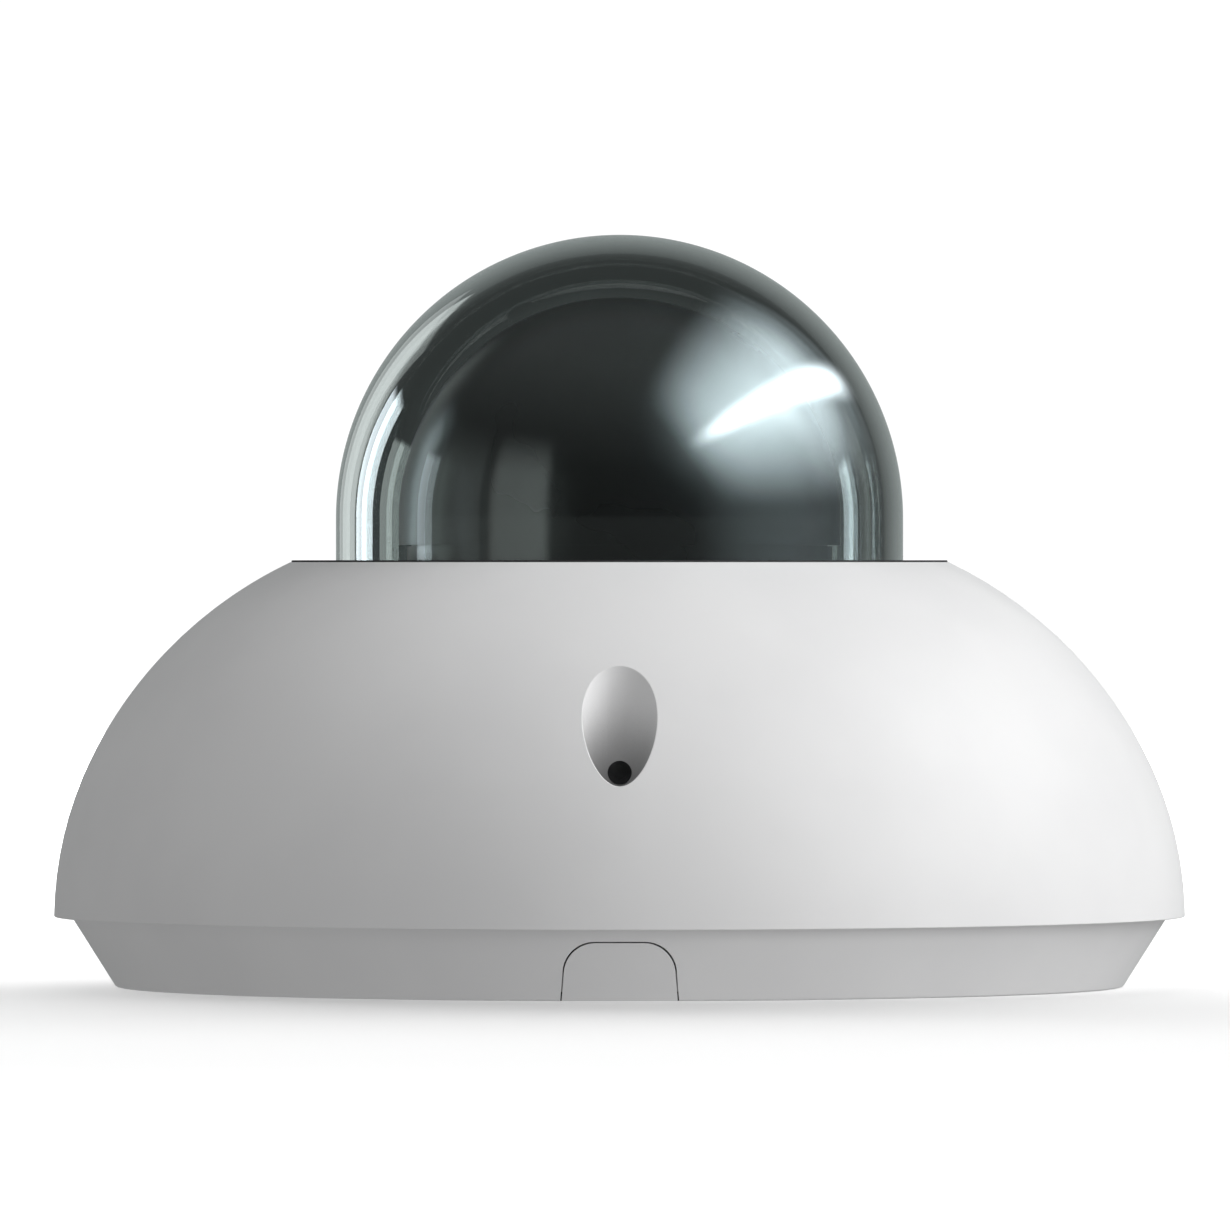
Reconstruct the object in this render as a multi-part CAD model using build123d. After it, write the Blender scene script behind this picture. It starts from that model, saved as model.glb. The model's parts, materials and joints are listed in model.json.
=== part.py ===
from build123d import *
import os
from math import asin, cos, degrees, radians, sin, sqrt

# Compact dome security camera, built as the real one is: a cast base tray that a wall or ceiling
# carries, a domed cover with a clear bubble that lifts off it, and inside them a chassis with the
# electronics and a lens module that pans, tilts and rolls at the bubble's centre.
# Millimetres, +Z up, origin at the centre of the base's underside. The front, with the cable
# notch, is -Y. The lens looks towards +Y and up at rest.

# ---- driving dimensions: the outer form ----
RIM_R, RIM_Z = 55.0, 6.8            # cover rim: outer radius and height
TOP_Z = 41.25                       # height of the cover's flat top
UPRIGHT_Z = 6.65                    # height where the cover's side would stand upright
LOW_ARC_R, HIGH_ARC_R = 35.1, 41.3  # the side's two arcs, tangent to each other
BLEND_ANGLE = 26.0                  # where they meet, degrees above the low arc's centre
COVER_T = 2.1                       # cover wall
BUBBLE_R, BUBBLE_T = 27.6, 1.8      # clear bubble: outer radius and wall
BUBBLE_Z = 45.5                     # height of the bubble's centre
OPENING_R = 29.2                    # hole in the cover's top
BASE_R, BASE_TOP_R = 49.0, 53.3     # base: radius at the wall and under the rim
BASE_T = 2.5                        # base floor and wall
LINER_R, LINER_T = 21.5, 1.2        # black liner ball round the lens module
NOTCH_HALF, NOTCH_TOP = 5.25, 5.55  # cable notch: half width at its shoulders, height
NOTCH_CORNER_R = 3.0

# ---- driving dimensions: the inner levels, from the base up ----
SPIGOT_R, SPIGOT_TOP = 52.2, 10.4    # the base's upstand inside the cover
BOARD_Z, BOARD_T, BOARD_R = 16.4, 1.6, 31.6
CHASSIS_R, CHASSIS_T = 34.0, 1.8
DECK_Z = 29.5                       # top of the chassis deck
TURNTABLE_Z = 31.3                  # pan bearing face
RETAINER_Z = 33.4
DRUM_TOP = 42.8                     # top of the turntable's drum
TRIM_T = 0.18                       # trim ring's flange on the cover's top
LOCATOR_TOP = 44.0                  # top of the drum's spigot inside the liner
SET_SCREW_END = 43.3                # outer end of a set screw, deep in its bore
REST_ELEVATION = 40.0               # the lens's angle above the horizontal at rest

# ---- fits and repeated sizes ----
RUN = 0.05                          # radial clearance of a turning fit
WALL_HOLE_R, WALL_HOLE_PCD = 2.25, 78.0
SET_SCREW_ANGLES = (30, 150, 270)   # one is at the front
SET_SCREW_Z = 21.4
RECESS_R, RECESS_AT, RECESS_FLOOR = 3.5, 48.6, 20.0
MOUTH_ROUND = 0.1                  # rounding of a recess's mouth
SET_BORE_R, SET_SCREW_R = 1.14, 1.1
PAD_FACE = 41.6                     # inner face of the cover's set screw pads
CLAMP_SCREW_R, CLAMP_ANGLES = 35.3, (45, 135, 225, 315)
LUG_FACE = 40.95                    # face of the chassis lugs that the set screws bear on
GROMMET_AT = (14.0, -38.5)
UPRIGHT = (Align.CENTER, Align.CENTER, Align.MIN)

nodes = {}


# ---- helpers ----
def disc(radius, low, high, x=0.0, y=0.0):
    """Upright cylinder between two heights."""
    return Pos(x, y, low) * Cylinder(radius, high - low, align=UPRIGHT)


def ring(inner, outer, low, high, x=0.0, y=0.0):
    return disc(outer, low, high, x, y) - disc(inner, low, high, x, y)


def block(x0, x1, y0, y1, z0, z1):
    size = (x1 - x0, y1 - y0, z1 - z0)
    return Pos((x0 + x1) / 2, (y0 + y1) / 2, (z0 + z1) / 2) * Box(*size)


def rounded_block(x0, x1, y0, y1, z0, z1, radius):
    """Block with its upright corners rounded."""
    plan = Pos((x0 + x1) / 2, (y0 + y1) / 2, z0) * RectangleRounded(x1 - x0, y1 - y0, radius)
    return extrude(plan, z1 - z0)


def rod(radius, x0, x1, y=0.0, z=0.0):
    """Cylinder along X between two stations."""
    return Pos(x0, y, z) * Rot(Y=90) * Cylinder(radius, x1 - x0, align=UPRIGHT)


def lathe(*edges):
    """Solid of revolution of a closed outline drawn in the XZ plane."""
    return revolve(make_face(Curve() + list(edges)), Axis.Z)


def outline(*points):
    """Straight edges through (radius, height) points."""
    return Polyline(*[(r, 0, z) for r, z in points])


def arc(*points):
    return ThreePointArc(*[(r, 0, z) for r, z in points])


def polar(radius, angle):
    return radius * cos(radians(angle)), radius * sin(radians(angle))


def turned(shape, angle):
    return Rot(Z=angle) * shape


def several(shapes):
    """One node made of separate solids."""
    return Compound(children=[s for shape in shapes for s in shape.solids()])


def screw(head_r, head_h, shank_r, length, drive_r=0.0):
    """Screw with its head on top, seated at z = 0, and a hexagonal drive."""
    body = disc(head_r, 0, head_h) + disc(shank_r, -length, 0)
    if drive_r:
        body -= Pos(0, 0, head_h * 0.4) * extrude(RegularPolygon(drive_r, 6), head_h)
    return body


# ---- the cover's side, shared by its two surfaces ----
LOW_CENTRE = (RIM_R - LOW_ARC_R, UPRIGHT_Z)
HIGH_CENTRE = (
    LOW_CENTRE[0] - (HIGH_ARC_R - LOW_ARC_R) * cos(radians(BLEND_ANGLE)),
    LOW_CENTRE[1] - (HIGH_ARC_R - LOW_ARC_R) * sin(radians(BLEND_ANGLE)))
TOP_R = HIGH_CENTRE[0] + sqrt(HIGH_ARC_R ** 2 - (TOP_Z - HIGH_CENTRE[1]) ** 2)


def side_arc(centre, radius, start, end):
    """Arc of the side between two angles, in degrees above its centre."""
    angles = (radians(start), radians((start + end) / 2), radians(end))
    return arc(*[(centre[0] + radius * cos(a), centre[1] + radius * sin(a)) for a in angles])


def under_side(inset, low, high):
    """Full solid of revolution inside the cover's side, that far in from its surface."""
    low_r, high_r = LOW_ARC_R - inset, HIGH_ARC_R - inset
    start = asin((low - LOW_CENTRE[1]) / low_r)
    end = asin((high - HIGH_CENTRE[1]) / high_r)
    foot_r = LOW_CENTRE[0] + low_r * cos(start)
    head_r = HIGH_CENTRE[0] + high_r * cos(end)
    lower = side_arc(LOW_CENTRE, low_r, degrees(start), BLEND_ANGLE)
    upper = side_arc(HIGH_CENTRE, high_r, BLEND_ANGLE, degrees(end))
    return lathe(lower, upper, outline((head_r, high), (0, high), (0, low), (foot_r, low)))


def ball_shell(radius, wall, centre, foot):
    """Hemispherical shell with a straight skirt down to foot."""
    def half(r):
        dome = arc((0, centre + r), (r * sin(radians(45)), centre + r * cos(radians(45))), (r, centre))
        return lathe(dome, outline((r, centre), (r, foot), (0, foot), (0, centre + r)))
    return half(radius) - half(radius - wall)


# ---- cover ----
PAD_LOW = RECESS_FLOOR - 2.8        # foot of the pads that carry the set screws
PAD_HALF, POCKET_WALL = 4.2, 1.9
BOSS_R, BOSS_LOW, BOSS_HOLE_R, BOSS_HOLE_TOP = 2.7, 34.75, 1.2, 37.4
TOP_ROUND, RIM_ROUND = 0.3, 0.12


def recess_mouth(shell):
    """Edges where the recesses break through the cover's side."""
    mouth = []
    for edge in shell.edges():
        middle = edge.center()
        radius = sqrt(middle.X ** 2 + middle.Y ** 2)
        if edge.geom_type not in (GeomType.LINE, GeomType.CIRCLE) and radius > RECESS_AT - RECESS_R:
            mouth.append(edge)
    return mouth


def cover_shell():
    shell = under_side(0, RIM_Z, TOP_Z) - under_side(COVER_T, RIM_Z, TOP_Z - COVER_T)
    top_edge = shell.edges().filter_by(GeomType.CIRCLE).sort_by(Axis.Z)[-1]
    shell = fillet(top_edge, TOP_ROUND)
    rim_edges = shell.edges().filter_by(GeomType.CIRCLE).group_by(Axis.Z)[0]
    shell = fillet(rim_edges.sort_by(SortBy.RADIUS)[-1], RIM_ROUND)
    shell -= disc(OPENING_R, TOP_Z - 2 * COVER_T, TOP_Z + 1)
    inner = under_side(COVER_T / 2, RIM_Z, TOP_Z - COVER_T / 2)
    for angle in SET_SCREW_ANGLES:
        pocket = disc(RECESS_R + POCKET_WALL, PAD_LOW, TOP_Z, RECESS_AT)
        pad = block(PAD_FACE, RECESS_AT, -PAD_HALF, PAD_HALF, PAD_LOW, TOP_Z)
        shell += turned(pocket + pad, angle) & inner
    for angle in CLAMP_ANGLES:
        x, y = polar(CLAMP_SCREW_R, angle)
        shell += disc(BOSS_R, BOSS_LOW, TOP_Z, x, y) & inner
        shell -= disc(BOSS_HOLE_R, BOSS_LOW - 1, BOSS_HOLE_TOP, x, y)
    for angle in SET_SCREW_ANGLES:
        shell -= turned(disc(RECESS_R, RECESS_FLOOR, TOP_Z + 5, RECESS_AT), angle)
    shell = fillet(recess_mouth(shell), MOUTH_ROUND)
    for angle in SET_SCREW_ANGLES:
        shell -= turned(rod(SET_BORE_R, PAD_FACE - 1, RECESS_AT, 0, SET_SCREW_Z), angle)
    return shell


def trim_ring():
    bore_r = BUBBLE_R + 0.1
    flange = ring(bore_r, TOP_R - TOP_ROUND / 3, TOP_Z, TOP_Z + TRIM_T)
    sleeve = ring(bore_r, OPENING_R - RUN, TOP_Z - COVER_T, TOP_Z)
    trim = flange + sleeve
    top_edges = trim.edges().filter_by(GeomType.CIRCLE).group_by(Axis.Z)[-1]
    return fillet(top_edges.sort_by(SortBy.RADIUS)[-1], TRIM_T / 2)


FLANGE_TOP, FLANGE_FOOT, FLANGE_R = 38.35, 36.55, 31.6


def dome_bubble():
    bubble = ball_shell(BUBBLE_R, BUBBLE_T, BUBBLE_Z, FLANGE_FOOT)
    return bubble + ring(BUBBLE_R - BUBBLE_T, FLANGE_R, FLANGE_FOOT, FLANGE_TOP)


def bubble_gasket():
    return ring(BUBBLE_R + 0.3, FLANGE_R - 0.1, FLANGE_TOP, TOP_Z - COVER_T)


CLAMP_IN, CLAMP_OUT, CLAMP_FOOT = 28.3, 34.0, 33.55
CLAMP_LUG_R, CLAMP_HOLE_R = 2.9, 1.35


def bubble_clamp_ring():
    """Ring that presses the bubble's flange up against its gasket, with four screw lugs."""
    clamp = ring(CLAMP_IN, CLAMP_OUT, CLAMP_FOOT, BOSS_LOW)
    clamp += ring(CLAMP_IN, FLANGE_R - 0.2, BOSS_LOW, FLANGE_FOOT)
    for angle in CLAMP_ANGLES:
        clamp += disc(CLAMP_LUG_R, CLAMP_FOOT, BOSS_LOW, *polar(CLAMP_SCREW_R, angle))
    for angle in CLAMP_ANGLES:
        clamp -= disc(CLAMP_HOLE_R, CLAMP_FOOT - 1, BOSS_LOW + 1, *polar(CLAMP_SCREW_R, angle))
    return clamp


def clamp_screws():
    one = Rot(X=180) * screw(2.25, 1.5, 1.15, 3.7, 1.0)
    return several([Pos(*polar(CLAMP_SCREW_R, a), CLAMP_FOOT) * one for a in CLAMP_ANGLES])


def cover_set_screws():
    """Socket set screws, in from the recesses until they bear on the chassis lugs."""
    socket = Pos(SET_SCREW_END, 0, SET_SCREW_Z) * Rot(Y=-90) * extrude(RegularPolygon(0.75, 6), 1.2)
    one = rod(SET_SCREW_R, LUG_FACE + RUN, SET_SCREW_END, 0, SET_SCREW_Z) - socket
    return several([turned(one, a) for a in SET_SCREW_ANGLES])


# ---- base ----
SEAL_IN, SEAL_OUT, SEAL_Z = 51.2, 52.6, 8.6    # inner and outer radius of the cover seal, its height


def notch_plan(grow=0.0):
    """Arched outline of the cable notch, drawn in XZ, a little wider at the foot."""
    top, shoulder = NOTCH_TOP + grow, NOTCH_HALF + grow
    foot, low = shoulder + 0.3, -1.0
    side_top = top - NOTCH_CORNER_R
    inset = NOTCH_CORNER_R * (1 - sin(radians(45)))
    left = [
        outline((-foot, low), (-shoulder, side_top)),
        arc((-shoulder, side_top), (-shoulder + inset, top - inset), (-shoulder + NOTCH_CORNER_R, top)),
    ]
    right = [mirror(edge, Plane.YZ) for edge in left]
    roof = outline((-shoulder + NOTCH_CORNER_R, top), (shoulder - NOTCH_CORNER_R, top))
    floor = outline((foot, low), (-foot, low))
    return make_face(Curve() + [*left, roof, *right, floor])


SPIGOT_IN = 50.1                    # inside of the upstand


def base_wall():
    """Tray without its holes: tapered wall, floor and upstand."""
    slope = (BASE_TOP_R - BASE_R) / RIM_Z
    inner_foot = BASE_R - BASE_T + slope * BASE_T
    return lathe(outline(
        (0, 0), (BASE_R, 0), (BASE_TOP_R, RIM_Z), (SPIGOT_R, RIM_Z), (SPIGOT_R, SPIGOT_TOP),
        (SPIGOT_IN, SPIGOT_TOP), (SPIGOT_IN, RIM_Z - 0.6), (inner_foot, BASE_T), (0, BASE_T), (0, 0)))


CHASSIS_FEET = [(38.0, 90), (38.0, 210), (38.0, 330)]
FOOT_BOSS_R, FOOT_TOP, FOOT_HOLE_R, FOOT_HOLE_LOW = 3.2, 4.5, 1.5, 1.1
WALL_HOLE_ANGLES = (45, 135, 225, 315)
WALL_BOSS_R, WALL_BOSS_TOP = 4.4, 4.0
GROMMET_BOSS_R, GROMMET_BOSS_TOP, GROMMET_HOLE_R = 7.0, 3.1, 4.6
GASKET_IN, GASKET_OUT, GASKET_T = 46.3, 48.1, 0.8
NOTCH_BACK = 42.5                   # the notch's cut starts this far in front of the centre
NOTCH_GAP = 0.12                    # gap round the plug
OPEN_TOP = 5.0                      # clear of everything on the base's floor


def base_tray():
    tray = base_wall()
    bottom = tray.edges().filter_by(GeomType.CIRCLE).group_by(Axis.Z)[0]
    tray = fillet(bottom.sort_by(SortBy.RADIUS)[-1], 0.4)
    for radius, angle in CHASSIS_FEET:
        tray += disc(FOOT_BOSS_R, BASE_T - 0.5, FOOT_TOP, *polar(radius, angle))
    for angle in WALL_HOLE_ANGLES:
        tray += disc(WALL_BOSS_R, BASE_T - 0.5, WALL_BOSS_TOP, *polar(WALL_HOLE_PCD / 2, angle))
    grommet_boss = disc(GROMMET_BOSS_R, BASE_T - 0.5, GROMMET_BOSS_TOP, *GROMMET_AT)
    tray += grommet_boss & disc(BASE_R - 1.6, 0, OPEN_TOP)
    for radius, angle in CHASSIS_FEET:
        tray -= disc(FOOT_HOLE_R, FOOT_HOLE_LOW, OPEN_TOP, *polar(radius, angle))
    for angle in WALL_HOLE_ANGLES:
        tray -= disc(WALL_HOLE_R, -1, OPEN_TOP, *polar(WALL_HOLE_PCD / 2, angle))
    tray -= disc(GROMMET_HOLE_R, -1, OPEN_TOP, *GROMMET_AT)
    tray -= ring(GASKET_IN, GASKET_OUT, -1, GASKET_T)
    tray -= ring(SEAL_IN - RUN, SPIGOT_R + 0.8, SEAL_Z - 0.75, SEAL_Z + 0.75)
    return tray - Pos(0, -NOTCH_BACK, 0) * extrude(notch_plan(NOTCH_GAP), 15, dir=(0, -1, 0))


HOOK_AT, HOOK_HALF, HOOK_LOW, HOOK_HIGH = 3.6, 0.6, 2.7, 4.6


def cable_notch_plug():
    """Snap-out piece of the base wall, with two hooks behind it."""
    slug = Pos(0, -NOTCH_BACK, 0) * extrude(notch_plan(), 15, dir=(0, -1, 0))
    above = disc(RIM_R + 5, RIM_Z - 0.8, SPIGOT_TOP + 5)
    plug = slug & (base_wall() - disc(GASKET_IN - 0.1, -1, SPIGOT_TOP + 5) - above)
    plug -= disc(GASKET_OUT + 0.1, -1, GASKET_T + RUN)
    for x in (-HOOK_AT, HOOK_AT):
        plug += block(x - HOOK_HALF, x + HOOK_HALF, -48.8, -45.2, HOOK_LOW, HOOK_HIGH)
    return plug


def wall_gasket():
    return ring(GASKET_IN + RUN, GASKET_OUT - RUN, 0, GASKET_T)


def cover_seal():
    """Round-section ring in the groove of the base's upstand."""
    section = Pos((SEAL_IN + SEAL_OUT) / 2, 0, SEAL_Z) * Rot(X=90) * Circle((SEAL_OUT - SEAL_IN) / 2)
    return revolve(section, Axis.Z)


CABLE_R = 3.0


def cable_grommet():
    """Rubber bush that seals the cable where it comes out of the wall."""
    top = GROMMET_BOSS_TOP + 1.0
    bush = ring(CABLE_R, GROMMET_HOLE_R - RUN, 0.3, top, *GROMMET_AT)
    return bush + ring(CABLE_R, GROMMET_HOLE_R + 1.2, GROMMET_BOSS_TOP, top, *GROMMET_AT)


# ---- chassis ----
BOARD_TOP = BOARD_Z + BOARD_T
JACK = dict(half=8.0, front=-31.5, back=-10.5, low=3.1)
STANDOFFS = [(27.0, a) for a in (50, 130, 215, 325)]
STANDOFF_R, PILOT_R = 2.6, 0.95     # standoffs, and the pilot holes of the small screws
CHASSIS_LOW, DECK_IN, DECK_T = 3.5, 13.0, 1.8
LUG_HALF, LUG_RISE = 4.0, 2.7
TAB_R, TAB_TOP, TAB_HOLE_R = 3.4, 6.5, 1.6
CARD_Z = 19.0
CARD_WINDOW_HALF, CARD_WINDOW_HIGH = 8.2, 22.5
BUTTON_R, BUTTON_Z = 1.85, 20.8
VENT_ANGLES = (60, 90, 120, 195, 225, 315, 345)
VENT_HALF, VENT_LOW, VENT_HIGH = 3.4, 8.5, 13.5


def chassis_frame():
    deck_low = DECK_Z - DECK_T
    inside = CHASSIS_R - CHASSIS_T - 1  # cuts through the wall start here and end past it
    outside = CHASSIS_R + 2
    frame = ring(CHASSIS_R - CHASSIS_T, CHASSIS_R, CHASSIS_LOW, DECK_Z)
    frame += ring(DECK_IN, CHASSIS_R, deck_low, DECK_Z)
    for radius, angle in STANDOFFS:
        frame += disc(STANDOFF_R, BOARD_TOP, deck_low + 0.5, *polar(radius, angle))
    for angle in SET_SCREW_ANGLES:
        lug = block(33.0, LUG_FACE, -LUG_HALF, LUG_HALF, SET_SCREW_Z - LUG_RISE, SET_SCREW_Z + LUG_RISE)
        frame += turned(lug, angle)
    for radius, angle in CHASSIS_FEET:
        tab = disc(TAB_R, FOOT_TOP, TAB_TOP, radius)
        tab += block(33.2, radius, -TAB_R, TAB_R, FOOT_TOP, TAB_TOP)
        frame += turned(tab - disc(TAB_HOLE_R, FOOT_TOP - 1, TAB_TOP + 1, radius), angle)
    for radius, angle in STANDOFFS:
        frame -= disc(PILOT_R, BOARD_Z, BOARD_TOP + 3.5, *polar(radius, angle))
    jack_half = JACK["half"] + 0.8
    frame -= block(-jack_half, jack_half, -outside, -28, 3, BOARD_Z + 0.1)
    frame -= block(28, outside, -CARD_WINDOW_HALF, CARD_WINDOW_HALF, BOARD_Z - 0.5, CARD_WINDOW_HIGH)
    frame -= rod(BUTTON_R + 0.1, -outside, -30, 0, BUTTON_Z)
    for angle in VENT_ANGLES:
        frame -= turned(block(inside, outside, -VENT_HALF, VENT_HALF, VENT_LOW, VENT_HIGH), angle)
    for angle in RETAINER_ANGLES:
        frame -= disc(PILOT_R, deck_low - 1, DECK_Z + 1, *polar(RETAINER_SCREW_R, angle))
    return frame - disc(LIGHT_PIPE_R + 0.1, deck_low - 1, DECK_Z + 1, *LIGHT_PIPE_AT)


def chassis_screws():
    one = screw(2.75, 1.7, 1.45, 5.2, 1.3)
    return several([Pos(*polar(r, a), TAB_TOP) * one for r, a in CHASSIS_FEET])


# ---- electronics ----
def main_board():
    board = disc(BOARD_R, BOARD_Z, BOARD_Z + BOARD_T)
    for radius, angle in STANDOFFS:
        board -= disc(1.2, BOARD_Z - 1, BOARD_Z + 3, *polar(radius, angle))
    return board


def board_screws():
    one = Rot(X=180) * screw(1.9, 1.2, 0.9, 4.8, 0.85)
    return several([Pos(*polar(r, a), BOARD_Z) * one for r, a in STANDOFFS])


def network_jack():
    jack = block(-JACK["half"], JACK["half"], JACK["front"], JACK["back"], JACK["low"], BOARD_Z)
    jack -= block(-5.9, 5.9, JACK["front"] - 1, -15.5, 6.4, 14.4)
    jack -= block(-3.1, 3.1, JACK["front"] - 1, -19.5, 4.6, 6.5)
    return jack


def network_jack_contacts():
    """Eight sprung wires that slope down into the socket."""
    wires = []
    for i in range(8):
        x = (i - 3.5) * 1.02
        wire = Pos(x, -20.5, 12.7) * Rot(X=14) * Box(0.45, 9.0, 0.3)
        wires.append(wire)
    return several(wires)


def on_board(x, y, wide, deep, tall):
    return block(x - wide / 2, x + wide / 2, y - deep / 2, y + deep / 2, BOARD_TOP, BOARD_TOP + tall)


def network_magnetics():
    return on_board(0, -20.5, 16, 7.5, 5.8)


def poe_transformer():
    core = on_board(-12, 11, 13, 12, 2.0) + on_board(-12, 11, 11, 8, 8.4)
    return core + on_board(-12, 11, 5, 12, 8.4)


def processor_chip():
    return on_board(4, 2, 14, 14, 1.3)


def heat_sink():
    """Finned block on the processor."""
    base = BOARD_TOP + 1.3
    sink = block(-4, 12, -6, 10, base, base + 1.4)
    for i in range(6):
        x = -3.5 + 3.0 * i
        sink += block(x, x + 1.0, -6, 10, base + 1.0, base + 6.0)
    return sink


def capacitors():
    places = ((-21.5, -3.5, 3.15), (-14.0, -6.0, 3.15), (-22.5, 5.5, 2.5))
    cans = []
    for x, y, radius in places:
        can = disc(radius, BOARD_TOP + 0.4, BOARD_TOP + 7.8, x, y)
        can = fillet(can.edges().group_by(Axis.Z)[-1], 0.5)
        cans.append(can + disc(radius * 0.8, BOARD_TOP, BOARD_TOP + 1, x, y))
    return several(cans)


def memory_chips():
    return several([on_board(7, 17.5, 11, 8, 1.1), on_board(-1.8, 17.5, 6, 5, 0.9)])


def surface_mount_parts():
    """Resistors, small capacitors and inductors in loose rows round the chips."""
    parts = []
    for i in range(6):
        parts.append(on_board(-6.5, -8 + 2.3 * i, 1.6, 0.9, 0.5))
        parts.append(on_board(-8 + 3.2 * i, 25.5, 1.0, 1.8, 0.6))
        parts.append(on_board(-9.5 + 3.2 * i, -13.2, 1.8, 1.0, 0.6))
    parts.append(on_board(15.5, -11.0, 5.2, 5.0, 3.0))
    parts.append(on_board(24.5, -10.0, 3.0, 2.4, 1.1))
    return several(parts)


def ribbon_connector():
    body = on_board(18.8, 12.7, 4.2, 9, 2.0)
    return body - on_board(20.4, 12.7, 1.4, 7.6, 1.6)


def card_socket():
    shell = block(15.8, 30.3, -7.2, 7.2, BOARD_TOP, BOARD_TOP + 2.2)
    return shell - block(17.0, 31, -5.6, 5.6, CARD_Z - 0.1, CARD_Z + 0.9)


def memory_card():
    """Small card with its thumb ridge just outside the chassis."""
    card = block(19.8, 34.8, -5.5, 5.5, CARD_Z, CARD_Z + 0.8)
    card -= block(19, 22.6, 3.9, 6, CARD_Z - 1, CARD_Z + 2)
    return card + block(33.4, 34.8, -4.6, 4.6, CARD_Z + 0.8, CARD_Z + 1.1)


def reset_switch():
    return on_board(-28.3, 0, 4.2, 6.0, 3.9)


def reset_button():
    cap = rod(BUTTON_R, -35.2, -31.5, 0, BUTTON_Z) + rod(BUTTON_R + 0.75, -32.0, -31.5, 0, BUTTON_Z)
    return cap + rod(1.0, -31.6, -30.85, 0, BUTTON_Z)


LIGHT_PIPE_AT, LIGHT_PIPE_R = polar(17.0, 305), 1.2


def status_light():
    x, y = LIGHT_PIPE_AT
    return on_board(x, y, 1.6, 0.9, 0.7)


def light_pipe():
    """Clear rod that carries the status light up through the deck."""
    stem = disc(LIGHT_PIPE_R, BOARD_TOP + 0.9, DECK_Z + 0.9, *LIGHT_PIPE_AT)
    return stem + disc(LIGHT_PIPE_R + 0.7, DECK_Z, DECK_Z + 0.9, *LIGHT_PIPE_AT)


MICROPHONE_AT, MICROPHONE_R, MICROPHONE_LOW = polar(29.7, 240), 2.0, DECK_Z + 0.6


def microphone():
    return disc(MICROPHONE_R, MICROPHONE_LOW, MICROPHONE_LOW + 1.5, *MICROPHONE_AT)


def microphone_boot():
    boot = disc(MICROPHONE_R + 0.9, DECK_Z, DECK_Z + 2.6, *MICROPHONE_AT)
    return boot - disc(MICROPHONE_R, MICROPHONE_LOW, DECK_Z + 3, *MICROPHONE_AT)


# ---- pan bearing, fixed half ----
RETAINER_SCREW_R, RETAINER_ANGLES = 24.7, (0, 90, 180, 270)
RETAINER_TOP = RETAINER_Z + 1.2
BEARING_IN, BEARING_OUT, TABLE_R = 19.5, 26.4, 22.9
DRUM_IN, DRUM_OUT = 18.9, 20.7


def pan_base():
    bearing = ring(BEARING_IN, BEARING_OUT, DECK_Z, TURNTABLE_Z)
    bearing += ring(TABLE_R + 0.1, BEARING_OUT, TURNTABLE_Z, RETAINER_Z)
    for angle in RETAINER_ANGLES:
        bearing -= disc(1.0, DECK_Z - 1, RETAINER_Z + 1, *polar(RETAINER_SCREW_R, angle))
    return bearing


def pan_retainer():
    hoop = ring(DRUM_OUT + 0.2, BEARING_OUT, RETAINER_Z, RETAINER_TOP)
    for angle in RETAINER_ANGLES:
        hoop -= disc(1.0, DECK_Z, RETAINER_TOP + 1, *polar(RETAINER_SCREW_R, angle))
    return hoop


def retainer_screws():
    one = screw(1.7, 1.1, 0.9, RETAINER_TOP - DECK_Z + 1.5, 0.8)
    return several([Pos(*polar(RETAINER_SCREW_R, a), RETAINER_TOP) * one for a in RETAINER_ANGLES])


# ---- pan body ----
ARM_IN, ARM_OUT, ARM_HALF = 15.4, 17.4, 4.5
YOKE_FOOT_T, TRUNNION_R = 1.8, 2.0
YOKE_SCREWS = [(x, y) for x in (-15.4, 15.4) for y in (-5.9, 5.9)]
SLOT_HALF = 8.3
SLOT_END = 0.3                      # how far behind the ball's crown the slot stops
PAD_TOP = RETAINER_Z - RUN


def pan_turntable():
    low = TURNTABLE_Z + RUN
    bore_r = BEARING_IN + 0.1
    table = ring(bore_r, TABLE_R, low, PAD_TOP) + ring(DRUM_IN, DRUM_OUT, low, DRUM_TOP)
    table += ring(DRUM_IN, LINER_R - LINER_T - RUN, DRUM_TOP, LOCATOR_TOP)
    table += block(13.6, bore_r, -7.4, 7.4, low, PAD_TOP)
    table += block(-bore_r, -13.6, -7.4, 7.4, low, PAD_TOP)
    table -= block(-SLOT_HALF, SLOT_HALF, 5, 30, DRUM_TOP, 60)
    for x, y in YOKE_SCREWS:
        table -= disc(0.8, low - 1, PAD_TOP + 1, x, y)
    return table


def yoke_arm():
    """Right-hand arm: a plate with a foot, and a hole for the cradle's trunnion."""
    plate = block(ARM_IN, ARM_OUT, -ARM_HALF, ARM_HALF, PAD_TOP, BUBBLE_Z)
    plate += rod(ARM_HALF, ARM_IN, ARM_OUT, 0, BUBBLE_Z)
    foot = block(13.7, ARM_OUT, -7.2, 7.2, PAD_TOP, PAD_TOP + YOKE_FOOT_T)
    arm = plate + foot - rod(TRUNNION_R, ARM_IN - 5, ARM_OUT + 3, 0, BUBBLE_Z)
    arm -= block(ARM_IN - 5, ARM_OUT + 3, -2.0, 2.0, 37.2, 41.2)
    for x, y in YOKE_SCREWS:
        arm -= disc(0.85, PAD_TOP - 1, PAD_TOP + 3, x, y)
    return arm


def yoke_screws():
    one = screw(1.3, 0.9, 0.75, 3.4, 0.6)
    return several([Pos(x, y, PAD_TOP + YOKE_FOOT_T) * one for x, y in YOKE_SCREWS])


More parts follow.
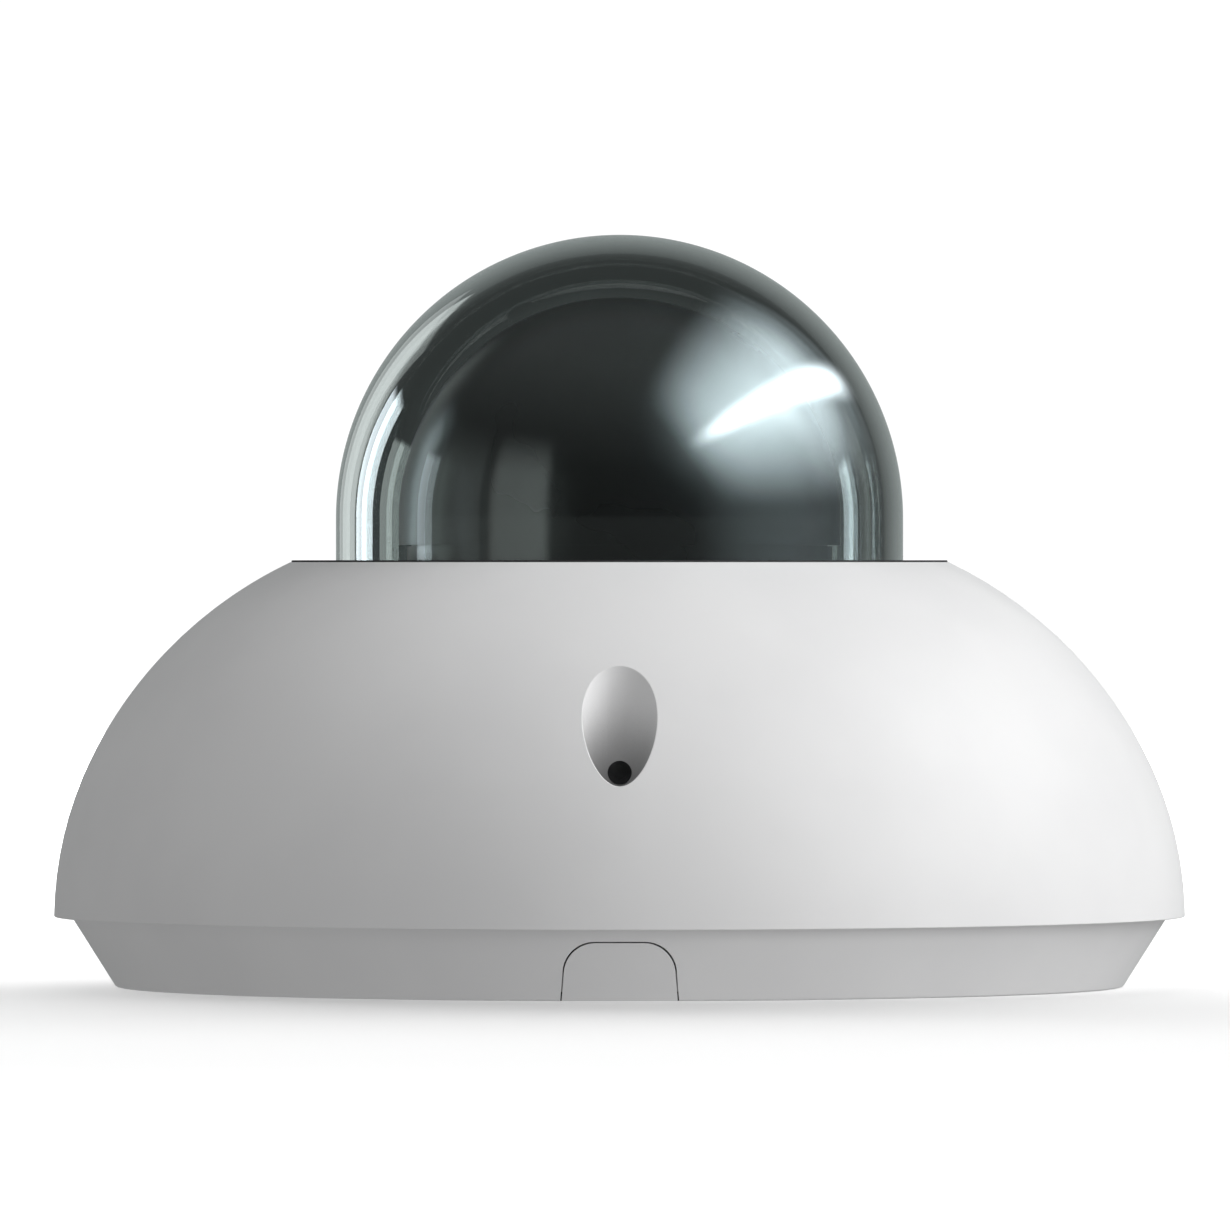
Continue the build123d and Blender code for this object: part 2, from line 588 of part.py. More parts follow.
def inner_liner():
    """Black ball that hides the module, open in a slot that the lens looks through."""
    liner = ball_shell(LINER_R, LINER_T, BUBBLE_Z, DRUM_TOP + 0.1)
    round_at = SLOT_END + SLOT_HALF
    slot = block(-SLOT_HALF, SLOT_HALF, round_at, 30, 30, 80) + disc(SLOT_HALF, 50, 80, 0, round_at)
    return liner - slot


# ---- tilt body, in the lens's own frame: +Z is the optical axis, z = 0 at the bubble's centre ----
OPTICAL = Pos(0, 0, BUBBLE_Z) * Rot(X=REST_ELEVATION - 90)
CRADLE_IN, CRADLE_OUT, CRADLE_HALF = 10.55, 12.9, 4.0


def tilt_cradle():
    cradle = ring(CRADLE_IN, CRADLE_OUT, -CRADLE_HALF, CRADLE_HALF)
    for side in (-1, 1):
        collar = rod(3.2, 12.0, ARM_IN - 0.1) + rod(TRUNNION_R - RUN, 12.0, ARM_OUT - 0.1)
        bored = collar - rod(0.95, 13.4, 20)
        cradle += Rot(Z=0 if side > 0 else 180) * bored
    return OPTICAL * (cradle - disc(CRADLE_IN, -CRADLE_HALF, CRADLE_HALF))


def tilt_lock_screws():
    one = Pos(ARM_OUT + 0.1, 0, 0) * Rot(Y=90) * screw(3.0, 0.9, 0.9, 3.8, 1.1)
    return OPTICAL * several([one, Rot(Z=180) * one])


# ---- roll body, in the lens's own frame ----
HOUSING_HALF, HOUSING_BACK = 9.0, -8.6
SLEEVE_TOP = 5.8
BARREL_R, BARREL_BACK = 6.0, -2.8
CORNERS = [(x, y) for x in (-7.2, 7.2) for y in (-7.2, 7.2)]


def lens_mount():
    """Square sensor housing with a round sleeve that turns in the cradle."""
    h = HOUSING_HALF
    mount = rounded_block(-h, h, -h, h, HOUSING_BACK, -CRADLE_HALF - 0.1, 2.5)
    mount += disc(CRADLE_IN - RUN, -CRADLE_HALF - 0.2, SLEEVE_TOP)
    mount -= ring(9.9, 12, CRADLE_HALF + 0.1, 5.0)              # groove of the roll clip
    mount -= disc(BARREL_R + RUN, -3.2, SLEEVE_TOP + 0.2)       # bore of the lens barrel
    mount -= disc(4.0, -5.5, -3)                                # light path to the sensor
    mount -= block(-8, 8, -3.6, 3.6, -6.6, -5.4)                # channel of the filter frame
    mount -= block(-5.5, 5.5, -5, 5, HOUSING_BACK - 0.4, -6.5)  # room for the sensor
    for x, y in CORNERS:
        mount -= disc(0.6, HOUSING_BACK - 0.4, -6.4, x, y)
    return OPTICAL * mount


def roll_clip():
    clip = ring(9.95, 11.9, CRADLE_HALF + 0.15, 4.95)
    return OPTICAL * (clip - block(-4, 4, 0, 13, 0, 8))


LENS_FRONT = 22.0
GRIP_NOTCHES, LOCK_NOTCHES = 24, 20


def lens_barrel():
    """Threaded lens with a wide head, and a stepped recess behind its front glass."""
    barrel = disc(BARREL_R, BARREL_BACK, 12.0) + disc(7.0, 12.0, LENS_FRONT)
    barrel -= disc(4.6, BARREL_BACK - 0.2, 17.5)
    barrel -= disc(5.6, 17.4, 23)
    front_edges = barrel.edges().filter_by(GeomType.CIRCLE).group_by(Axis.Z)[-1]
    barrel = chamfer(front_edges.sort_by(SortBy.RADIUS)[-1], 0.4)
    for i in range(GRIP_NOTCHES):
        barrel -= turned(block(6.75, 7.5, -0.25, 0.25, 12.8, 15.4), i * 360 / GRIP_NOTCHES)
    return OPTICAL * barrel


def lens_front_glass():
    """Domed front element, a spherical cap on a short cylinder."""
    glass_r, edge, crown = 5.55, 19.6, 21.4
    sag = crown - edge
    ball_r = (glass_r ** 2 + sag ** 2) / (2 * sag)
    shoulder = glass_r / 2
    rise = crown - ball_r + sqrt(ball_r ** 2 - shoulder ** 2)
    cap = arc((0, crown), (shoulder, rise), (glass_r, edge))
    return OPTICAL * lathe(cap, outline((glass_r, edge), (glass_r, 17.6), (0, 17.6), (0, crown)))


def lens_rear_glass():
    return OPTICAL * disc(4.5, -2.4, -0.4)


def lens_lock_ring():
    lock = ring(BARREL_R + RUN, 8.8, SLEEVE_TOP + 0.1, 7.6)
    for i in range(LOCK_NOTCHES):
        lock -= turned(block(8.45, 9.5, -0.35, 0.35, 5, 8), i * 360 / LOCK_NOTCHES)
    return OPTICAL * lock


SENSOR_BOARD_BACK = HOUSING_BACK - 1.2


def sensor_board():
    h = HOUSING_HALF
    board = rounded_block(-h, h, -h, h, SENSOR_BOARD_BACK, HOUSING_BACK, 1.5)
    for x, y in CORNERS:
        board -= disc(0.75, SENSOR_BOARD_BACK - 1, HOUSING_BACK + 1, x, y)
    return OPTICAL * board


def image_sensor():
    return OPTICAL * block(-4.2, 4.2, -3.6, 3.6, HOUSING_BACK, HOUSING_BACK + 1.2)


def sensor_board_screws():
    one = Rot(X=180) * screw(1.25, 0.9, 0.55, 3.0, 0.6)
    return OPTICAL * several([Pos(x, y, SENSOR_BOARD_BACK) * one for x, y in CORNERS])


def sensor_connector():
    return OPTICAL * block(-5, 5, -5.8, -2.8, SENSOR_BOARD_BACK - 1.6, SENSOR_BOARD_BACK)


def ir_cut_motor():
    return OPTICAL * (block(-4, 4, 9, 11.6, -8.3, -4.9) + block(-1.2, 1.2, 9, 10.4, -4.9, -4.3))


# ---- filter body, in the lens's own frame ----
FILTER_HALF_X, FILTER_HALF_Y, FILTER_STEP = 2.2, 2.7, 5.0


def window(x, low, high):
    return block(x - FILTER_HALF_X, x + FILTER_HALF_X, -FILTER_HALF_Y, FILTER_HALF_Y, low, high)


def ir_filter_frame():
    plate = block(-7.8, 2.8, -3.4, 3.4, -6.45, -5.55)
    return OPTICAL * (plate - window(0, -7, -5) - window(-FILTER_STEP, -7, -5))


def ir_cut_glass():
    return OPTICAL * window(0, -6.3, -5.7)


def clear_glass():
    return OPTICAL * window(-FILTER_STEP, -6.3, -5.7)


PARTS = [
    base_tray, cable_notch_plug, wall_gasket, cover_seal, cable_grommet, chassis_frame, chassis_screws,
    main_board, board_screws, network_jack, network_jack_contacts, network_magnetics, poe_transformer,
    processor_chip, heat_sink, capacitors, memory_chips, surface_mount_parts, ribbon_connector,
    card_socket, reset_switch, status_light, light_pipe, microphone, microphone_boot, pan_base,
    pan_retainer, retainer_screws, cover_shell, trim_ring, dome_bubble, bubble_gasket,
    bubble_clamp_ring, clamp_screws, cover_set_screws, pan_turntable, yoke_screws, inner_liner,
    tilt_cradle, tilt_lock_screws, lens_mount, roll_clip, lens_barrel, lens_front_glass,
    lens_rear_glass, lens_lock_ring, sensor_board, image_sensor, sensor_board_screws,
    sensor_connector, ir_cut_motor, ir_filter_frame, ir_cut_glass, clear_glass, memory_card,
    reset_button,
]

os.makedirs("parts", exist_ok=True)
for make in PARTS:
    nodes[make.__name__] = make()
nodes["yoke_arm_right"] = yoke_arm()
nodes["yoke_arm_left"] = Rot(Z=180) * yoke_arm()
for name, shape in nodes.items():
    export_step(Compound(children=shape.solids()), f"parts/{name}.step")
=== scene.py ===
import bpy
import bmesh
import json
import math
from mathutils import Matrix, Vector

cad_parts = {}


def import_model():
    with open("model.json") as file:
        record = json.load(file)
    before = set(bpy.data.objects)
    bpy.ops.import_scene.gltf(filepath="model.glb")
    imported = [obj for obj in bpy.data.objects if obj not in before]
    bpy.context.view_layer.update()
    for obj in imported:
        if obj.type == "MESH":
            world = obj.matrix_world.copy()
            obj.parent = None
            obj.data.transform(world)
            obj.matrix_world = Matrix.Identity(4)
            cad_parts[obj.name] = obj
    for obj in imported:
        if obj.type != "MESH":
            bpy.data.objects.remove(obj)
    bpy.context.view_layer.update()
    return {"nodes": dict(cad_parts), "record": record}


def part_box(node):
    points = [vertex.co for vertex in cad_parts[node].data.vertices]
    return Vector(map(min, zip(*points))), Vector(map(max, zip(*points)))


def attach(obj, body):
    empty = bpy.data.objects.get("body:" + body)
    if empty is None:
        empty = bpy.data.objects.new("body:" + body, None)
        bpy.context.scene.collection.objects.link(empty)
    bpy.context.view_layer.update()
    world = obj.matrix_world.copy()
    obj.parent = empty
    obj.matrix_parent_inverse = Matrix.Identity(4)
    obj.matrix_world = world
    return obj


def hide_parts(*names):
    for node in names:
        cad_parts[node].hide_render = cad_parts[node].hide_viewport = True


# Looks of a compact dome camera: white powder-coated cover and base, a clear bubble, a black liner.
# Metres, +Z up, origin at the centre of the base's underside, notch side at -Y.

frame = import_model()
nodes = frame["nodes"]
scene = bpy.context.scene
MM = 0.001

# ---- sizes, read from the CAD nodes where they can be ----
BUBBLE_LOW, BUBBLE_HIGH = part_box("dome_bubble")
BUBBLE_R, BUBBLE_T = 27.6 * MM, 1.8 * MM
BUBBLE_Z = BUBBLE_HIGH.z - BUBBLE_R
FLANGE_R, FLANGE_T = BUBBLE_HIGH.x, 1.8 * MM
EDGE_ROUND = 0.15 * MM

# Steps of the bubble's mesh: round the axis, up the dome, up the skirt, round the flange's edges.
AROUND_STEPS, DOME_STEPS, SKIRT_STEPS, EDGE_STEPS = 320, 96, 8, 4
SHARP_DEGREES = 40
ON_AXIS = 1e-9


# ---- node helpers ----
def material(name):
    mat = bpy.data.materials.new(name)
    mat.use_nodes = True
    tree = mat.node_tree
    shader = tree.nodes["Principled BSDF"]
    return mat, tree, shader


def set_sockets(node, **values):
    """Constants on a node's own sockets; an underscore stands for a space."""
    for name, value in values.items():
        node.inputs[name.replace("_", " ")].default_value = value


def noise(tree, scale, detail=3.0):
    where = tree.nodes.new("ShaderNodeTexCoord")
    tex = tree.nodes.new("ShaderNodeTexNoise")
    set_sockets(tex, Scale=scale, Detail=detail)
    tree.links.new(where.outputs["Object"], tex.inputs["Vector"])
    return tex.outputs["Fac"]


def ramp(tree, fac, low, high, start=0.35, end=0.65):
    """Blend between two colours, or two greys for a plain value, as fac rises."""
    node = tree.nodes.new("ShaderNodeValToRGB")
    node.color_ramp.interpolation = "EASE"
    for stop, position, tone in zip(node.color_ramp.elements, (start, end), (low, high)):
        stop.position = position
        stop.color = (*(tone if isinstance(tone, tuple) else (tone, tone, tone)), 1)
    tree.links.new(fac, node.inputs["Fac"])
    return node.outputs["Color"]


def bump(tree, shader, height, strength, distance):
    node = tree.nodes.new("ShaderNodeBump")
    set_sockets(node, Strength=strength, Distance=distance)
    tree.links.new(height, node.inputs["Height"])
    tree.links.new(node.outputs["Normal"], shader.inputs["Normal"])


def maths(tree, operation, a, b=None):
    node = tree.nodes.new("ShaderNodeMath")
    node.operation = operation
    for socket, value in zip(node.inputs, (a, b)):
        if value is None:
            continue
        if isinstance(value, (int, float)):
            socket.default_value = value
        else:
            tree.links.new(value, socket)
    return node.outputs[0]


def graded(tree, value, low, high, to_low=0.0, to_high=1.0, steps="SMOOTHSTEP"):
    """Value between to_low and to_high as the input runs from low to high."""
    node = tree.nodes.new("ShaderNodeMapRange")
    node.interpolation_type = steps
    set_sockets(node, From_Min=low, From_Max=high, To_Min=to_low, To_Max=to_high)
    tree.links.new(value, node.inputs["Value"])
    return node.outputs["Result"]


# ---- materials ----
# Painted shade in the white paint: how far the occlusion reaches, the darkest tone it paints into
# hollows, and its samples.
PAINTED_SHADE_REACH = 8.0 * MM
PAINTED_SHADE_TONE = 0.54
PAINTED_SHADE_SAMPLES = 8
GRAIN_DEPTH, TRACK_DEPTH = 0.02 * MM, 0.03 * MM
GLOSS_SCALE = 2.3
PEEL_SCALE, PAINT_GRAIN_SCALE = 520, 2600
BUBBLE_IOR, GLASS_IOR = 1.58, 1.6


def textured(name, low, high, rough, metallic=0.0, grain=900.0, patch=60.0, strength=0.3):
    """Opaque finish: slow colour drift, uneven gloss and a fine surface grain."""
    mat, tree, shader = material(name)
    tree.links.new(ramp(tree, noise(tree, patch), low, high), shader.inputs["Base Color"])
    gloss = ramp(tree, noise(tree, patch * GLOSS_SCALE), *rough)
    tree.links.new(gloss, shader.inputs["Roughness"])
    set_sockets(shader, Metallic=metallic)
    bump(tree, shader, noise(tree, grain, 2.0), strength, GRAIN_DEPTH)
    return mat


def white_paint():
    """Fine powder coat: a faint orange peel over a finer grain, with painted shade that darkens the
    colour inside hollows.
    """
    mat, tree, shader = material("white_paint")
    tone = ramp(tree, noise(tree, 45), (0.80, 0.80, 0.805), (0.83, 0.83, 0.833))
    # Painted shade: ambient occlusion within the same part darkens the paint's colour in recesses
    # and corners.
    painted_shade_ao = tree.nodes.new("ShaderNodeAmbientOcclusion")
    painted_shade_ao.samples = PAINTED_SHADE_SAMPLES
    painted_shade_ao.only_local = True
    set_sockets(painted_shade_ao, Distance=PAINTED_SHADE_REACH)
    shade = tree.nodes.new("ShaderNodeMix")
    shade.data_type, shade.blend_type = "RGBA", "MULTIPLY"
    set_sockets(shade, Factor=1.0)
    tree.links.new(tone, shade.inputs["A"])
    painted_shade_level = ramp(tree, painted_shade_ao.outputs["AO"], PAINTED_SHADE_TONE, 1.0, 0.15, 0.85)
    tree.links.new(painted_shade_level, shade.inputs["B"])
    tree.links.new(shade.outputs["Result"], shader.inputs["Base Color"])
    tree.links.new(ramp(tree, noise(tree, 120), 0.50, 0.56), shader.inputs["Roughness"])
    set_sockets(shader, Specular_IOR_Level=0.42)
    peel, fine = noise(tree, PEEL_SCALE, 2.0), noise(tree, PAINT_GRAIN_SCALE, 2.0)
    bump(tree, shader, maths(tree, "ADD", peel, fine), 0.10, GRAIN_DEPTH)
    return mat


def clear_polycarbonate():
    """Clear bubble, polished, with a faint grey-green tint that drifts a little."""
    mat, tree, shader = material("clear_dome")
    tint = ramp(tree, noise(tree, 20), (0.86, 0.90, 0.89), (0.88, 0.915, 0.905))
    tree.links.new(tint, shader.inputs["Base Color"])
    set_sockets(shader, Roughness=0.0, Transmission_Weight=1.0, IOR=BUBBLE_IOR)
    return mat


def coated_glass(name, tint_low, tint_high, transmission=0.85):
    """Small glass or clear plastic piece under a hard coat."""
    mat, tree, shader = material(name)
    tint = ramp(tree, noise(tree, 300), tint_low, tint_high)
    tree.links.new(tint, shader.inputs["Base Color"])
    tree.links.new(ramp(tree, noise(tree, 500), 0.01, 0.03), shader.inputs["Roughness"])
    set_sockets(shader, Transmission_Weight=transmission, IOR=GLASS_IOR, Coat_Weight=0.6)
    return mat


def circuit_board():
    """Green solder mask with rows of copper runs showing through it."""
    mat, tree, shader = material("board_green")
    where = tree.nodes.new("ShaderNodeTexCoord")
    runs = tree.nodes.new("ShaderNodeTexBrick")
    set_sockets(runs, Scale=160, Mortar_Size=0.06, Brick_Width=1.7, Row_Height=0.21,
                Color1=(0.010, 0.085, 0.038, 1), Color2=(0.012, 0.105, 0.046, 1),
                Mortar=(0.035, 0.20, 0.085, 1))
    tree.links.new(where.outputs["Object"], runs.inputs["Vector"])
    tree.links.new(runs.outputs["Color"], shader.inputs["Base Color"])
    tree.links.new(ramp(tree, noise(tree, 400), 0.28, 0.40), shader.inputs["Roughness"])
    bump(tree, shader, runs.outputs["Fac"], 0.3, TRACK_DEPTH)
    return mat


# Opaque finishes: darkest tone, lightest tone, range of roughness, and what differs from plain.
METAL = {"metallic": 1.0}
OPAQUE = {
    "black_trim": ((0.008, 0.008, 0.009), (0.014, 0.014, 0.015), (0.58, 0.70), {}),
    "black_liner": ((0.0028, 0.0028, 0.0032), (0.0036, 0.0036, 0.004), (0.27, 0.30),
                    {"patch": 25, "strength": 0.02}),
    "black_rubber": ((0.012, 0.012, 0.012), (0.026, 0.026, 0.026), (0.62, 0.82), {"grain": 1500}),
    "grey_foam": ((0.05, 0.05, 0.052), (0.10, 0.10, 0.10), (0.8, 0.95),
                  {"grain": 2400, "strength": 0.9}),
    "zinc_screw": ((0.50, 0.51, 0.50), (0.66, 0.66, 0.63), (0.22, 0.40), {**METAL, "patch": 400}),
    "dark_screw": ((0.08, 0.08, 0.083), (0.13, 0.13, 0.134), (0.35, 0.5),
                   {"metallic": 0.9, "patch": 400}),
    "chassis_grey": ((0.035, 0.035, 0.037), (0.05, 0.05, 0.053), (0.48, 0.62),
                     {"grain": 1800, "strength": 0.5}),
    "chip_black": ((0.014, 0.014, 0.014), (0.026, 0.026, 0.026), (0.42, 0.58),
                   {"grain": 3000, "strength": 0.5}),
    "heat_aluminium": ((0.50, 0.51, 0.53), (0.66, 0.67, 0.69), (0.30, 0.45),
                       {**METAL, "patch": 200}),
    "jack_shield": ((0.55, 0.56, 0.57), (0.70, 0.71, 0.71), (0.20, 0.36), {**METAL, "patch": 160}),
    "gold_contact": ((0.72, 0.46, 0.14), (0.86, 0.60, 0.22), (0.18, 0.30), {**METAL, "patch": 600}),
    "can_aluminium": ((0.58, 0.58, 0.60), (0.72, 0.72, 0.74), (0.22, 0.34),
                      {**METAL, "patch": 300}),
    "ferrite": ((0.035, 0.03, 0.026), (0.07, 0.06, 0.052), (0.5, 0.7),
                {"grain": 2600, "strength": 0.6}),
    "connector_cream": ((0.58, 0.52, 0.36), (0.66, 0.60, 0.44), (0.36, 0.5), {}),
    "mic_can": ((0.46, 0.46, 0.46), (0.60, 0.60, 0.60), (0.28, 0.42), {**METAL, "patch": 400}),
    "lens_black": ((0.010, 0.010, 0.011), (0.018, 0.018, 0.020), (0.32, 0.46),
                   {"metallic": 0.4, "grain": 2600}),
    "card_black": ((0.016, 0.016, 0.018), (0.03, 0.03, 0.032), (0.32, 0.46), {}),
    "button_grey": ((0.13, 0.13, 0.135), (0.18, 0.18, 0.185), (0.42, 0.56), {}),
}
# Glass finishes: two tints, and how much light goes through where it isn't the usual share.
GLASS = {
    "light_clear": ((0.88, 0.93, 0.88), (0.92, 0.96, 0.92), 1.0),
    "led_body": ((0.55, 0.78, 0.45), (0.62, 0.84, 0.50), 0.7),
    "lens_glass": ((0.30, 0.26, 0.52), (0.18, 0.34, 0.44)),
    "sensor_glass": ((0.05, 0.07, 0.09), (0.09, 0.06, 0.12), 0.4),
    "filter_red": ((0.55, 0.16, 0.20), (0.62, 0.24, 0.26)),
}
MATERIALS = {
    "white_paint": white_paint(),
    "clear_dome": clear_polycarbonate(),
    "board_green": circuit_board(),
}
for name, (low, high, rough, options) in OPAQUE.items():
    MATERIALS[name] = textured(name, low, high, rough, **options)
for name, spec in GLASS.items():
    MATERIALS[name] = coated_glass(name, *spec)


# ---- mesh helpers ----
def make_object(name, bm, slot):
    mesh = bpy.data.meshes.new(name)
    bm.normal_update()
    bm.to_mesh(mesh)
    bm.free()
    obj = bpy.data.objects.new(name, mesh)
    scene.collection.objects.link(obj)
    mesh.shade_smooth()
    mesh.materials.append(MATERIALS[slot])
    return obj


def arc_points(centre, radius, start, end, count):
    """Points (radius, height) along an arc, angles in degrees from the horizontal."""
    out = []
    for i in range(count + 1):
        a = math.radians(start + (end - start) * i / count)
        out.append((centre[0] + radius * math.cos(a), centre[1] + radius * math.sin(a)))
    return out


def ring_of(bm, r, z, segments):
    """One ring of the lathe, or a single pole where the radius is nil."""
    if r < ON_AXIS:
        return [bm.verts.new((0, 0, z))]
    turns = [2 * math.pi * i / segments for i in range(segments)]
    return [bm.verts.new((r * math.cos(a), r * math.sin(a), z)) for a in turns]


def lathe(profile, segments):
    """Surface of revolution of (radius, height) points; a point on the axis becomes a pole."""
    bm = bmesh.new()
    rings = [ring_of(bm, r, z, segments) for r, z in profile]
    for a, b in zip(rings, rings[1:]):
        for i in range(segments):
            j = (i + 1) % segments
            if len(a) == 1:
                bm.faces.new((a[0], b[i], b[j]))
            elif len(b) == 1:
                bm.faces.new((a[i], b[0], a[j]))
            else:
                bm.faces.new((a[i], b[i], b[j], a[j]))
    bmesh.ops.recalc_face_normals(bm, faces=bm.faces)
    return bm


# ---- bubble ----
def bubble_glass():
    """Clear bubble as one closed shell: a half ball on a straight skirt, flanged at its foot."""
    outer, inner, foot = BUBBLE_R, BUBBLE_R - BUBBLE_T, BUBBLE_LOW.z
    shoulder, brim, edge = foot + FLANGE_T, FLANGE_R - EDGE_ROUND, EDGE_ROUND
    skirt, drop, rise = SKIRT_STEPS, BUBBLE_Z - shoulder, BUBBLE_Z - foot
    profile = arc_points((0, BUBBLE_Z), outer, 90, 0, DOME_STEPS)
    profile += [(outer, shoulder + drop * (1 - i / skirt)) for i in range(1, skirt + 1)]
    profile += arc_points((brim, shoulder - edge), edge, 90, 0, EDGE_STEPS)
    profile += arc_points((brim, foot + edge), edge, 0, -90, EDGE_STEPS)
    profile += [(inner, foot + rise * i / skirt) for i in range(skirt)]
    profile += arc_points((0, BUBBLE_Z), inner, 0, 90, DOME_STEPS)
    obj = make_object("bubble_glass", lathe(profile, AROUND_STEPS), "clear_dome")
    obj.data.set_sharp_from_angle(angle=math.radians(SHARP_DEGREES))
    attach(obj, "cover")
    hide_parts("dome_bubble")
    return obj


# ---- camera ----
CENTRE_X = -0.00044
CAMERA_DISTANCE, CAMERA_Z, AIM_Z = 1.40, 0.0413, 0.0361
LENS, SENSOR = 421.0, 36
NEAR_CLIP, FAR_CLIP = 0.05, 20


def aim(obj, target):
    obj.rotation_euler = (Vector(target) - obj.location).to_track_quat("-Z", "Y").to_euler()


def camera():
    data = bpy.data.cameras.new("camera")
    data.lens, data.sensor_width = LENS, SENSOR
    data.clip_start, data.clip_end = NEAR_CLIP, FAR_CLIP
    obj = bpy.data.objects.new("camera", data)
    obj.location = (CENTRE_X, -CAMERA_DISTANCE, CAMERA_Z)
    scene.collection.objects.link(obj)
    aim(obj, (CENTRE_X, 0, AIM_Z))
    scene.camera = obj


camera()

for name, obj in nodes.items():
    slot = next(s["material_slot"] for s in frame["record"]["subparts"] if s["node"] == name)
    obj.data.materials.clear()
    obj.data.materials.append(MATERIALS[slot])


# ---- world ----
# Brightness of the room. Soft and front: by height, from straight down (0) over the horizon (0.5)
# to straight up (1). Behind: by depth, from the camera's side (0) to straight behind (1).
ROOM_SOFT = ((0.0, 0.42), (0.47, 0.38), (0.50, 0.02), (0.59, 0.02), (0.65, 0.18), (0.80, 0.145),
             (1.0, 0.10))
ROOM_BEHIND = ((0.0, 0.06), (0.75, 0.05), (0.85, 0.065), (0.91, 0.12), (0.95, 0.215), (0.98, 0.28),
               (0.9925, 0.36), (1.0, 0.44))
ROOM_FRONT = ((0.0, 0.05), (0.48, 0.10), (0.503, 0.15), (0.512, 0.08), (0.68, 0.09), (0.79, 0.15),
              (0.88, 0.22), (0.96, 0.30), (1.0, 0.30))
NEUTRAL, ROOM_TINT = (1, 1, 1), (0.91, 1.0, 0.985)
BACKDROP_WHITE = 1.05
# Light that has come through both walls of the bubble is cut to this share of itself.
THROUGH_SHADE = 0.12
THROUGH_FROM, THROUGH_TO = 2.4, 2.6
BEHIND_FROM, BEHIND_TO = -0.1, 0.4


def room_shade(tree, place, levels, tint):
    """Background colour that follows a list of (place, grey) stops."""
    node = tree.nodes.new("ShaderNodeValToRGB")
    stops = node.color_ramp.elements
    for i, (position, grey) in enumerate(levels):
        stop = stops[i] if i < 2 else stops.new(position)
        stop.position = position
        stop.color = (*[grey * c for c in tint], 1)
    tree.links.new(place, node.inputs["Fac"])
    return node.outputs["Color"]


def background(tree, colour=None, strength=1.0):
    node = tree.nodes.new("ShaderNodeBackground")
    if colour is None:
        set_sockets(node, Color=(1, 1, 1, 1))
    else:
        tree.links.new(colour, node.inputs["Color"])
    if isinstance(strength, float):
        set_sockets(node, Strength=strength)
    else:
        tree.links.new(strength, node.inputs["Strength"])
    return node.outputs["Background"]


def blend(tree, factor, first, second):
    node = tree.nodes.new("ShaderNodeMixShader")
    for socket, link in zip(node.inputs, (factor, first, second)):
        tree.links.new(link, socket)
    return node.outputs["Shader"]


def world():
    """White backdrop; a dim soft room for matt surfaces; a graded room for gloss and glass."""
    data = bpy.data.worlds.new("studio")
    data.use_nodes = True
    tree = data.node_tree
    tree.nodes.clear()
    out = tree.nodes.new("ShaderNodeOutputWorld")
    path = tree.nodes.new("ShaderNodeLightPath")
    where = tree.nodes.new("ShaderNodeTexCoord")
    split = tree.nodes.new("ShaderNodeSeparateXYZ")
    tree.links.new(where.outputs["Generated"], split.inputs["Vector"])
    height = graded(tree, split.outputs["Z"], -1, 1, steps="LINEAR")
    depth = graded(tree, split.outputs["Y"], -1, 1, steps="LINEAR")
    seen_through = graded(tree, path.outputs["Transmission Depth"],
                          THROUGH_FROM, THROUGH_TO, 1.0, THROUGH_SHADE)
    soft = background(tree, room_shade(tree, height, ROOM_SOFT, NEUTRAL))
    front = background(tree, room_shade(tree, height, ROOM_FRONT, ROOM_TINT), seen_through)
    behind = background(tree, room_shade(tree, depth, ROOM_BEHIND, ROOM_TINT), seen_through)
    side = graded(tree, split.outputs["Y"], BEHIND_FROM, BEHIND_TO)
    glossy = blend(tree, side, front, behind)
    rest = blend(tree, path.outputs["Is Diffuse Ray"], glossy, soft)
    white = background(tree, None, BACKDROP_WHITE)
    final = blend(tree, path.outputs["Is Camera Ray"], rest, white)
    tree.links.new(final, out.inputs["Surface"])
    scene.world = data


# ---- floor ----
FLOOR_HALF, FLOOR_CELLS, FLOOR_DROP = 30, 8, 0.02 * MM
FLOOR_NEAR, FLOOR_FAR, FLOOR_GLOW = 0.20, 0.60, 0.256
FLOOR_SHARE, FLOOR_ROUGHNESS = 0.04, 0.05


def floor():
    """Pale floor with a soft shadow and a faint mirror image; it glows white further out."""
    bm = bmesh.new()
    bmesh.ops.create_grid(bm, x_segments=FLOOR_CELLS, y_segments=FLOOR_CELLS, size=FLOOR_HALF)
    mat, tree, shader = material("floor")
    MATERIALS["floor"] = mat
    set_sockets(shader, Base_Color=(0.9, 0.9, 0.9, 1), Roughness=1.0, Specular_IOR_Level=0.0,
                Emission_Color=(1, 1, 1, 1))
    where = tree.nodes.new("ShaderNodeTexCoord")
    length = tree.nodes.new("ShaderNodeVectorMath")
    length.operation = "LENGTH"
    tree.links.new(where.outputs["Object"], length.inputs[0])
    glow = graded(tree, length.outputs["Value"], FLOOR_NEAR, FLOOR_FAR, FLOOR_GLOW, 1.0)
    tree.links.new(glow, shader.inputs["Emission Strength"])
    gloss = tree.nodes.new("ShaderNodeBsdfGlossy")
    set_sockets(gloss, Roughness=FLOOR_ROUGHNESS)
    mix = tree.nodes.new("ShaderNodeMixShader")
    set_sockets(mix, Fac=FLOOR_SHARE)
    out = tree.nodes["Material Output"]
    tree.links.new(shader.outputs["BSDF"], mix.inputs[1])
    tree.links.new(gloss.outputs["BSDF"], mix.inputs[2])
    tree.links.new(mix.outputs["Shader"], out.inputs["Surface"])
    obj = make_object("floor", bm, "floor")
    obj.location.z = -FLOOR_DROP
    obj.visible_diffuse = obj.visible_glossy = obj.visible_transmission = False
    return obj


